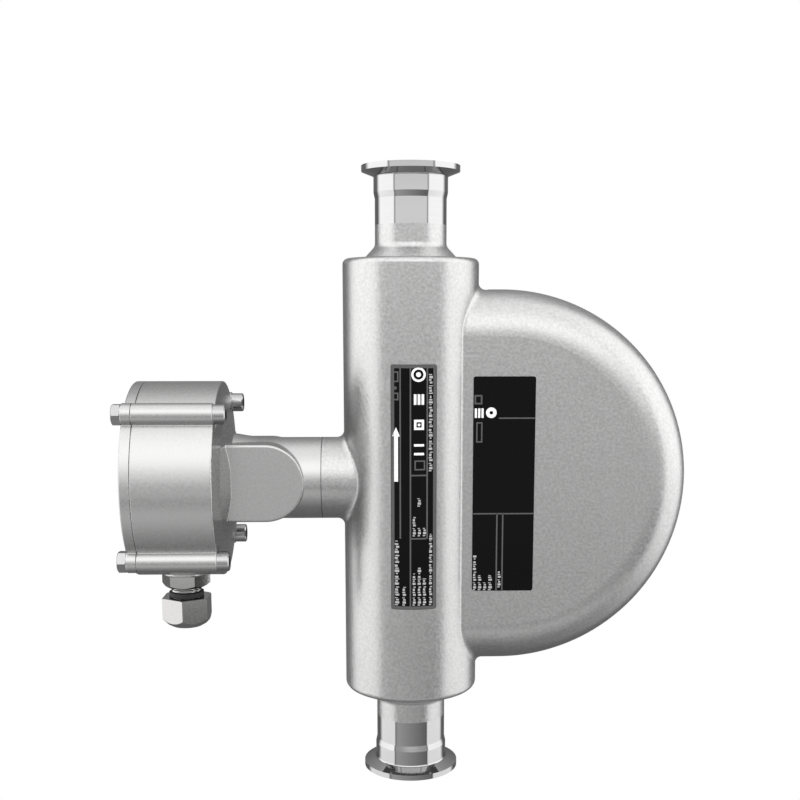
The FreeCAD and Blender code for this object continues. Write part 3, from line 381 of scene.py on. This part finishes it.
def magnet_metal():
    material, tree, shader, where = surface("magnet_metal", grey(0.55, 0.03), 1.0, 0.2)
    marks = noise(tree, where, 0.8 * MM)
    tint(tree, shader, marks, grey(0.5, 0.03), grey(0.6, 0.03))
    vary_roughness(tree, shader, marks, 0.16, 0.26)
    return material


COIL_WIRE = 0.35 * MM
WAVES_PER_UNIT = 3.2


def copper_coil():
    material, tree, shader, where = surface("copper_coil", (0.72, 0.30, 0.13), 1.0, 0.3)
    wire = tree.add("ShaderNodeTexWave", wave_type="BANDS", bands_direction="Y")
    wire.inputs["Scale"].default_value = 1.0 / COIL_WIRE / WAVES_PER_UNIT
    wire.inputs["Distortion"].default_value = 0.6
    tree.put(wire.inputs["Vector"], where)
    # The colour follows the wire's relief: darker in the low ground between the turns, painted shade in those
    # grooves
    colour = tree.mix(wire.outputs["Fac"], (0.30, 0.09, 0.03, 1), (0.78, 0.34, 0.16, 1))
    tree.put(shader.inputs["Base Color"], colour)
    relief(tree, shader, wire.outputs["Fac"], 0.08 * MM)
    return material


def pin_brass():
    material, tree, shader, where = surface("pin_brass", (0.83, 0.62, 0.28), 1.0, 0.2)
    marks = noise(tree, where, 0.5 * MM)
    tint(tree, shader, marks, (0.74, 0.54, 0.22), (0.88, 0.68, 0.34))
    return material


def nickel_brass():
    return turned("nickel_brass", 0.43, 0.10, 0.004 * MM, 0.4, 0.01)


def threaded_brass():
    """Nickel brass with a thread from its lower end to a little above the dust ring."""
    material, tree, shader, where, marks = bright("threaded_brass", 0.43, 0.10, 0.01)
    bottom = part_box("gland_body")[0][2]
    ring_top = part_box("gland_dust_ring")[1][2]
    turns = thread(tree, where, 2, GLAND_PITCH, bottom, ring_top + GLAND_THREAD_ABOVE_RING)
    relief(tree, shader, tree.math("MULTIPLY_ADD", marks, GLAND_MARKS, third=turns), GLAND_THREAD_DEPTH)
    return material


def solder_grey():
    return turned("solder_grey", 0.62, 0.28, 0.02 * MM)


METALS = (blasted_steel, polished_steel, cast_steel, inner_steel, bright_fasteners, threaded_bolts, magnet_metal,
          copper_coil, pin_brass, nickel_brass, threaded_brass, solder_grey)

# Plastics, rubber, resin, lacquer and print: dark and light shade, roughness, grain, depth of relief, and what
# else is set on the shader
PRINT_GLOSS = {"Specular IOR Level": 0.13}
DULL = {
    "clamp_plastic": ((0.62, 0.60, 0.55), (0.74, 0.72, 0.67), 0.42, 0.5 * MM, 0.01 * MM),
    "black_rubber": ((0.012, 0.012, 0.013), (0.03, 0.03, 0.032), 0.62, 0.4 * MM, 0.02 * MM),
    "seal_resin": ((0.02, 0.014, 0.008), (0.07, 0.045, 0.02), 0.25, 1.2 * MM, 0.01 * MM, {"Coat Weight": 0.4}),
    "board_green": ((0.012, 0.075, 0.03), (0.02, 0.12, 0.045), 0.33, 0.5 * MM, 0.01 * MM, {"Coat Weight": 0.3}),
    "trace_green": ((0.03, 0.20, 0.07), (0.05, 0.28, 0.10), 0.3, 0.5 * MM, 0.005 * MM, {"Coat Weight": 0.3}),
    "chip_black": (grey(0.018), grey(0.03), 0.45, 0.4 * MM, 0.01 * MM),
    "block_grey": ((0.20, 0.21, 0.22), (0.28, 0.29, 0.30), 0.45, 0.4 * MM, 0.015 * MM),
    "lead_red": ((0.36, 0.02, 0.015), (0.52, 0.04, 0.03), 0.4, 0.5 * MM, 0.01 * MM),
    "sensor_white": ((0.66, 0.65, 0.62), (0.80, 0.79, 0.76), 0.35, 0.5 * MM, 0.01 * MM),
    "plate_black": (grey(0.0005), grey(0.0011), 0.24, 0.4 * MM, 0.001 * MM, PRINT_GLOSS),
    "print_grey": (grey(0.085), grey(0.105), 0.3, 0.4 * MM, 0.001 * MM, PRINT_GLOSS),
    "print_pale": (grey(0.36), grey(0.48), 0.3, 0.4 * MM, 0.001 * MM, PRINT_GLOSS),
    "print_white": (grey(0.86), grey(0.94), 0.3, 0.4 * MM, 0.001 * MM, PRINT_GLOSS),
}
DULL_CLOUD_GRAIN = 14
DULL_ROUGHNESS_STRAY = 0.05


def dull(name, dark, light, roughness, grain, depth, sockets=()):
    """A material without metal, with a fine grain and a slight change of shade."""
    material, tree, shader, where = surface(name, light, 0.0, roughness, sockets)
    fine = noise(tree, where, grain, 3.0)
    tint(tree, shader, tree.blend(0.5, fine, noise(tree, where, grain * DULL_CLOUD_GRAIN)), dark, light)
    vary_roughness(tree, shader, fine, roughness - DULL_ROUGHNESS_STRAY, roughness + DULL_ROUGHNESS_STRAY)
    relief(tree, shader, fine, depth, 0.6)
    return material


def make_materials():
    materials = {maker.__name__: maker() for maker in METALS}
    for name, look in DULL.items():
        materials[name] = dull(name, *look)
    return materials


# Nodes that show a thread have the threaded look of their own material
THREADED = {name: "threaded_bolts" for name in frame["nodes"] if name.startswith("cover_bolt_")}
THREADED["gland_body"] = "threaded_brass"


def dress_nodes(materials):
    for name, node in frame["nodes"].items():
        material = materials[THREADED.get(name, NODE_SLOT[name])]
        node.data.materials.clear()
        node.data.materials.append(material)


def piece(name, mesh_data, body, material, smooth=False):
    mesh = bpy.data.meshes.new(name)
    mesh_data.to_mesh(mesh)
    mesh_data.free()
    mesh.materials.append(material)
    for face in mesh.polygons:
        face.use_smooth = smooth
    made = bpy.data.objects.new(name, mesh)
    bpy.context.scene.collection.objects.link(made)
    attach(made, body)


# Half the meter's length: its loop, neck and plates lie about this height
MIDDLE = 160 * MM

# Nine places across a strip, from one edge to the other
NINE_PLACES = [index / 4 for index in range(-4, 5)]

# The two plates' print: plain fields, lines, bars and an arrow
PRINT_LIFT = 0.03 * MM
PRINT_STEP = 0.6 * MM
# Rows of dashes: how length, gap and both sides vary from one dash to the next
DASH = 1.15
DASH_GAP = 0.42
DASH_LENGTHS = (0.5, 1.0, 0.7, 0.35, 0.85, 0.6, 1.1)
DASH_GAPS = (1.0, 1.0, 1.0, 2.2)
DASH_LEFT = (0.0, 0.08, 0.25, 0.0, 0.12)
DASH_RIGHT = (0.3, 0.0, 0.1, 0.35, 0.0, 0.2)
# Height of the arrow's head at its two outer corners, so that no face there is without area
HEAD_CORNER = 0.01


class Print:
    """Flat shapes laid on a plate. across and up are in mm, up from the flow meter's middle."""

    def __init__(self, place):
        self.place = place
        self.mesh = bmesh.new()

    def strip(self, points_low, points_high):
        """A row of faces between two lines with as many points."""
        low = [self.mesh.verts.new(self.place(*point)) for point in points_low]
        high = [self.mesh.verts.new(self.place(*point)) for point in points_high]
        for index in range(len(low) - 1):
            self.mesh.faces.new((low[index], low[index + 1], high[index + 1], high[index]))

    def bar(self, left, right, bottom, top):
        steps = max(1, math.ceil((right - left) * MM / PRINT_STEP))
        across = [left + (right - left) * index / steps for index in range(steps + 1)]
        self.strip([(value, bottom) for value in across], [(value, top) for value in across])

    def upright(self, across, bottom, top, width):
        self.bar(across - width / 2, across + width / 2, bottom, top)

    def level(self, left, right, up, width):
        self.bar(left, right, up - width / 2, up + width / 2)

    def frame(self, left, right, bottom, top, width):
        self.bar(left, left + width, bottom, top)
        self.bar(right - width, right, bottom, top)
        self.bar(left + width, right - width, bottom, bottom + width)
        self.bar(left + width, right - width, top - width, top)

    def disc(self, across, up, radius, hole=0.0, sides=32):
        turns = [2 * math.pi * index / sides for index in range(sides + 1)]
        outer = [(across + radius * math.cos(turn), up + radius * math.sin(turn)) for turn in turns]
        inner = [(across + hole * math.cos(turn), up + hole * math.sin(turn)) for turn in turns]
        self.strip(outer, inner)

    def dashes(self, left, right, bottom, top):
        """A column of short dashes, uneven in length and side, in place of a line of small print."""
        start = bottom
        index = 0
        width = right - left
        while start < top:
            length = DASH * DASH_LENGTHS[index % len(DASH_LENGTHS)]
            low = left + width * DASH_LEFT[index % len(DASH_LEFT)]
            high = right - width * DASH_RIGHT[index % len(DASH_RIGHT)]
            self.bar(low, high, start, min(start + length, top))
            start += length + DASH_GAP * DASH_GAPS[index % len(DASH_GAPS)]
            index += 1

    def arrow(self, across, bottom, tip, shaft, head, head_length):
        neck = tip - head_length
        self.upright(across, bottom, neck, shaft)
        base = [(across + part * head / 2, neck) for part in NINE_PLACES]
        slope = [(across + part * head / 2, neck + HEAD_CORNER + head_length * (1 - abs(part)))
                 for part in NINE_PLACES]
        self.strip(base, slope)


MAIN_PLATE_RADIUS = -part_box("main_nameplate")[0][1]


def on_main_plate(across, up):
    radius = MAIN_PLATE_RADIUS + PRINT_LIFT
    x = across * MM
    return (x, -math.sqrt(radius * radius - x * x), MIDDLE + up * MM)


def on_side_plate(across, up):
    return (across * MM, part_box("side_nameplate")[0][1] - PRINT_LIFT, MIDDLE + up * MM)


def plate_field(node, margin):
    """Left, right, bottom and top of a plate in mm, less a margin."""
    low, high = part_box(node)
    return (low[0] / MM + margin, high[0] / MM - margin,
            (low[2] - MIDDLE) / MM + margin, (high[2] - MIDDLE) / MM - margin)


# Columns of dashes on each plate: left, right, bottom and top
MAIN_ROWS = ((2.4, 4.2, -9.8, -5.4), (0.0, 1.6, -25.0, -15.0), (2.6, 4.2, -25.0, -20.5),
             (5.2, 6.8, -25.0, -20.5), (0.0, 1.6, -61.0, -44.2), (2.6, 4.3, -61.0, -41.3),
             (5.2, 6.9, -61.0, -46.6), (-5.2, -3.4, -61.0, -51.3), (-9.0, -6.8, -61.0, -27.0),
             (8.4, 10.0, -61.0, -24.0), (8.1, 10.0, 8.0, 56.5))
SIDE_ROWS = ((31.6, 33.3, -56.0, -37.5), (34.2, 36.0, -56.0, -48.0), (36.9, 38.6, -56.0, -51.0),
             (39.5, 41.5, -56.0, -48.0), (44.4, 46.0, -54.5, -46.0))


def plate_rows(name, place, rows, materials):
    pale = Print(place)
    for row in rows:
        pale.dashes(*row)
    piece(name, pale.mesh, "meter", materials["print_pale"])


def main_plate_print(materials):
    left, right, bottom, top = plate_field("main_nameplate", 0.15)
    border = 1.6
    line = 0.75
    first, second, third = (-6.2, -1.1, 7.3)
    upper, lower = (6.0, -26.3)
    dim = Print(on_main_plate)
    dim.frame(left, right, bottom, top, border)
    dim.upright(first, lower, top - border, line)
    dim.upright(second, bottom + border, top - border, line)
    dim.upright(third, lower, top - border, line)
    for row in (upper, lower):
        dim.level(second + line / 2, third - line / 2, row, line)
    dim.frame(-10.2, -7.0, 52.6, 57.9, 0.7)
    dim.disc(-8.6, 49.7, 0.8)
    dim.frame(-10.2, -7.0, 43.6, 47.4, 0.7)
    dim.frame(0.9, 6.3, 8.6, 13.6, 0.7)
    piece("main_plate_lines", dim.mesh, "meter", materials["print_grey"])
    light = Print(on_main_plate)
    light.arrow(-8.3, 2.8, 30.2, 2.0, 4.0, 4.6)
    light.disc(2.9, 56.3, 3.6, 2.5)
    light.disc(2.9, 56.3, 1.2)
    for column in (0.6, 2.5, 4.4):
        light.bar(column, column + 1.3, 41.4, 46.6)
    light.frame(0.7, 5.7, 28.9, 34.0, 1.2)
    light.disc(3.2, 31.4, 0.7)
    light.bar(0.7, 5.7, 20.6, 21.8)
    light.bar(0.7, 5.7, 16.2, 17.4)
    piece("main_plate_marks", light.mesh, "meter", materials["print_white"])
    plate_rows("main_plate_rows", on_main_plate, MAIN_ROWS, materials)


def side_plate_print(materials):
    left, right, bottom, _ = plate_field("side_nameplate", 0.2)
    line = 0.7
    lower = -15.6
    dim = Print(on_side_plate)
    dim.level(44.0, right, 33.6, line)
    dim.level(left, right, lower, line)
    for column in (43.7, 46.7):
        dim.upright(column, bottom, lower, line)
    dim.frame(31.6, 35.6, 40.6, 45.4, 0.8)
    dim.frame(32.6, 35.8, 21.2, 31.6, 0.7)
    piece("side_plate_lines", dim.mesh, "meter", materials["print_grey"])
    light = Print(on_side_plate)
    for column in (31.8, 33.5, 35.2):
        light.bar(column, column + 1.1, 33.8, 38.6)
    light.disc(40.2, 36.4, 2.7, 0.9)
    piece("side_plate_marks", light.mesh, "meter", materials["print_white"])
    plate_rows("side_plate_rows", on_side_plate, SIDE_ROWS, materials)


# Weld bead round the loop housing, where its two halves meet
BEAD_HALF_WIDTH = 1.5 * MM
BEAD_HEIGHT = 0.22 * MM
BEAD_STEP = 0.36 * MM
BEAD_PITCH = 1.3 * MM
BEAD_RIPPLE = 0.22
BEAD_SINK = 0.03 * MM
BEAD_START = 5 * MM
BODY_BLEND = 3.5 * MM


def weld_bead(materials):
    """A rippled strip along the rim: a straight run from the body tube, half a circle and a straight run back."""
    low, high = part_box("loop_shell_front")
    radius = (high[2] - low[2]) / 2 - BODY_BLEND
    centre = high[0] - radius
    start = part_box("body_tube")[1][0] + BEAD_START
    run = centre - start
    arc = math.pi * radius
    total = 2 * run + arc
    count = int(total / BEAD_STEP)
    mesh = bmesh.new()
    rows = []
    for index in range(count + 1):
        along = total * index / count
        turn = min(max((along - run) / radius, 0.0), math.pi)
        out = (math.sin(turn), math.cos(turn))
        x = centre + min(along - run, 0.0) - max(along - run - arc, 0.0)
        row = []
        for across in NINE_PLACES:
            ripple = math.cos(2 * math.pi * (along + across * across * BEAD_PITCH) / BEAD_PITCH)
            lift = BEAD_HEIGHT * (1 - across * across) * (1 + BEAD_RIPPLE * ripple) - BEAD_SINK
            reach = radius + lift
            place = (x + out[0] * reach, across * BEAD_HALF_WIDTH, MIDDLE + out[1] * reach)
            row.append(mesh.verts.new(place))
        rows.append(row)
    for row, following in zip(rows, rows[1:]):
        for index in range(len(row) - 1):
            mesh.faces.new((row[index], row[index + 1], following[index + 1], following[index]))
    piece("loop_weld_bead", mesh, "meter", materials["blasted_steel"], smooth=True)


# A fine dark ring round the neck, where the terminal housing is set on its stub: painted shade of the gap between
# them, drawn in the black rubber material
JOINT_HALF_WIDTH = 0.16 * MM
JOINT_LIFT = 0.02 * MM
JOINT_SIDES = 96
NECK_RADIUS = 21.5 * MM


def paint_neck_gap_shade(materials):
    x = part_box("terminal_housing")[1][0]
    radius = NECK_RADIUS + JOINT_LIFT
    mesh = bmesh.new()
    turns = [2 * math.pi * index / JOINT_SIDES for index in range(JOINT_SIDES)]
    rings = []
    for side in (-1, 1):
        rings.append([mesh.verts.new((x + side * JOINT_HALF_WIDTH, radius * math.cos(turn),
                                      MIDDLE + radius * math.sin(turn))) for turn in turns])
    first, second = rings
    for index in range(JOINT_SIDES):
        following = (index + 1) % JOINT_SIDES
        mesh.faces.new((first[index], first[following], second[following], second[index]))
    # The dark ring is painted shade in the seam's gap, not a part of its own
    piece("neck_gap_painted_shade", mesh, "meter", materials["black_rubber"], smooth=True)


# Parts on the terminal board, seen with the cover off, in mm from its middle.
# Chips: across, up, width, height and thickness
CHIPS = ((-11.5, 19.0, 11.0, 8.0, 1.8), (12.0, 18.0, 7.0, 7.0, 1.4), (22.0, 4.0, 5.0, 4.0, 1.2),
         (-23.0, 5.0, 6.0, 4.0, 1.3), (0.0, -26.0, 9.0, 5.0, 1.6))
CHIP_BEVEL = 0.2
# Small parts: across and up. Their two metal ends are one block: width, height, thickness and bevel
SMALL_PARTS = ((1.2, 22.0), (1.2, 19.0), (1.2, 16.0), (20.5, 10.5), (24.0, 10.5), (-24.5, 11.0),
               (-21.0, 11.0), (-15.0, -24.0), (-12.0, -24.0), (12.0, -24.0), (15.0, -24.0))
SMALL_ENDS = (1.5, 3.0, 0.7, 0.12)
SMALL_BODY = (1.6, 1.8, 0.85, 0.15)
# Traces: across, low and high end
TRACES = ((-20.0, 1.2, 12.0), (-12.0, 1.2, 14.0), (-4.0, 9.0, 14.0), (4.0, 9.0, 13.5), (12.0, 1.2, 13.5),
          (20.0, 1.2, 8.0), (16.0, -22.0, -18.0), (-16.0, -22.0, -18.0), (8.0, -22.0, -18.0),
          (-8.0, -22.0, -18.0))
TRACE_HALF = 0.4
TRACE_PAD = 0.9
BOARD_SINK = 0.05 * MM
# Solder on the feedthrough's pins, at these angles round the board's middle
SOLDER = (0, 60, 120, 180)
SOLDER_RADIUS = 1.3 * MM
SOLDER_FLATNESS = 0.6
PIN_RADIUS = 0.6 * MM


def add_block(mesh, low, high, bevel):
    """A box between two corners in metres, its edges bevelled."""
    made = bmesh.ops.create_cube(mesh, size=1.0)["verts"]
    for vert in made:
        vert.co = [low[axis] + (vert.co[axis] + 0.5) * (high[axis] - low[axis]) for axis in range(3)]
    edges = list({edge for vert in made for edge in vert.link_edges})
    bmesh.ops.bevel(mesh, geom=edges, offset=bevel, segments=2, affect="EDGES", profile=0.7)


def on_board(across, up):
    return (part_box("terminal_board")[0][0] - PRINT_LIFT, across * MM, MIDDLE + up * MM)


def board_block(mesh, across, up, width, height, thickness, bevel):
    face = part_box("terminal_board")[0][0]
    low = (face - thickness * MM, (across - width / 2) * MM, MIDDLE + (up - height / 2) * MM)
    high = (face + BOARD_SINK, (across + width / 2) * MM, MIDDLE + (up + height / 2) * MM)
    add_block(mesh, low, high, bevel * MM)


def board_parts(materials):
    chips = bmesh.new()
    for chip in CHIPS:
        board_block(chips, *chip, CHIP_BEVEL)
    piece("board_chips", chips, "meter", materials["chip_black"])
    ends = bmesh.new()
    bodies = bmesh.new()
    for across, up in SMALL_PARTS:
        board_block(ends, across, up, *SMALL_ENDS)
        board_block(bodies, across, up, *SMALL_BODY)
    piece("board_part_ends", ends, "meter", materials["solder_grey"])
    piece("board_part_bodies", bodies, "meter", materials["chip_black"])
    traces = Print(on_board)
    for across, low, high in TRACES:
        traces.bar(across - TRACE_HALF, across + TRACE_HALF, low, high)
        traces.disc(across, low, TRACE_PAD)
        traces.disc(across, high, TRACE_PAD)
    piece("board_traces", traces.mesh, "meter", materials["trace_green"])
    dots = bmesh.new()
    pins_low, pins_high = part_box("feedthrough_pins")
    circle = (pins_high[1] - pins_low[1]) / 2 - PIN_RADIUS
    face = on_board(0, 0)[0]
    for angle in SOLDER:
        made = bmesh.ops.create_uvsphere(dots, u_segments=20, v_segments=12, radius=SOLDER_RADIUS)["verts"]
        y, z = circle * math.cos(math.radians(angle)), circle * math.sin(math.radians(angle))
        for vert in made:
            vert.co = (face + vert.co.x * SOLDER_FLATNESS, y + vert.co.y, MIDDLE + z + vert.co.z)
    piece("board_solder", dots, "meter", materials["solder_grey"], smooth=True)


# Terminal block: the ribs between its terminals and the slotted heads of their screws
TERMINALS = 6
RIB = 0.9 * MM
RIB_SINK = 0.1 * MM
RIB_BEVEL = 0.2 * MM
SLOT_HALF = 0.35 * MM
SCREW_INSET = 0.1 * MM
SCREW_RAISE = 0.35 * MM
SCREW_STEPS = 14


def terminal_details(materials):
    low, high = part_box("terminal_block")
    screw_low, screw_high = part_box("terminal_screws")
    screw_radius = (screw_high[2] - screw_low[2]) / 2
    first = screw_low[1] + screw_radius
    pitch = (screw_high[1] - screw_low[1] - 2 * screw_radius) / (TERMINALS - 1)
    ribs = bmesh.new()
    for index in range(TERMINALS + 1):
        y = min(max(first + (index - 0.5) * pitch, low[1] + RIB / 2), high[1] - RIB / 2)
        add_block(ribs, (low[0] - RIB, y - RIB / 2, low[2]), (low[0] + RIB_SINK, y + RIB / 2, high[2]), RIB_BEVEL)
    piece("terminal_ribs", ribs, "meter", materials["block_grey"])
    heads = bmesh.new()
    middle_z = (screw_low[2] + screw_high[2]) / 2
    radius = screw_radius - SCREW_INSET
    start = math.asin(SLOT_HALF / radius)
    turns = [start + (math.pi - 2 * start) * part / SCREW_STEPS for part in range(SCREW_STEPS + 1)]
    for index in range(TERMINALS):
        for sign in (-1, 1):
            rim = [(radius * math.cos(turn), sign * radius * math.sin(turn)) for turn in turns]
            face = heads.faces.new([heads.verts.new((screw_low[0], first + index * pitch + y, middle_z + z))
                                    for y, z in rim])
            raised = bmesh.ops.extrude_face_region(heads, geom=[face])["geom"]
            for vert in raised:
                if isinstance(vert, bmesh.types.BMVert):
                    vert.co.x -= SCREW_RAISE
    piece("terminal_screw_heads", heads, "meter", materials["bright_fasteners"])


def main():
    add_camera()
    add_light()
    add_floor()
    bpy.context.scene.view_settings.view_transform = "Standard"
    materials = make_materials()
    dress_nodes(materials)
    main_plate_print(materials)
    side_plate_print(materials)
    weld_bead(materials)
    paint_neck_gap_shade(materials)
    board_parts(materials)
    terminal_details(materials)


main()
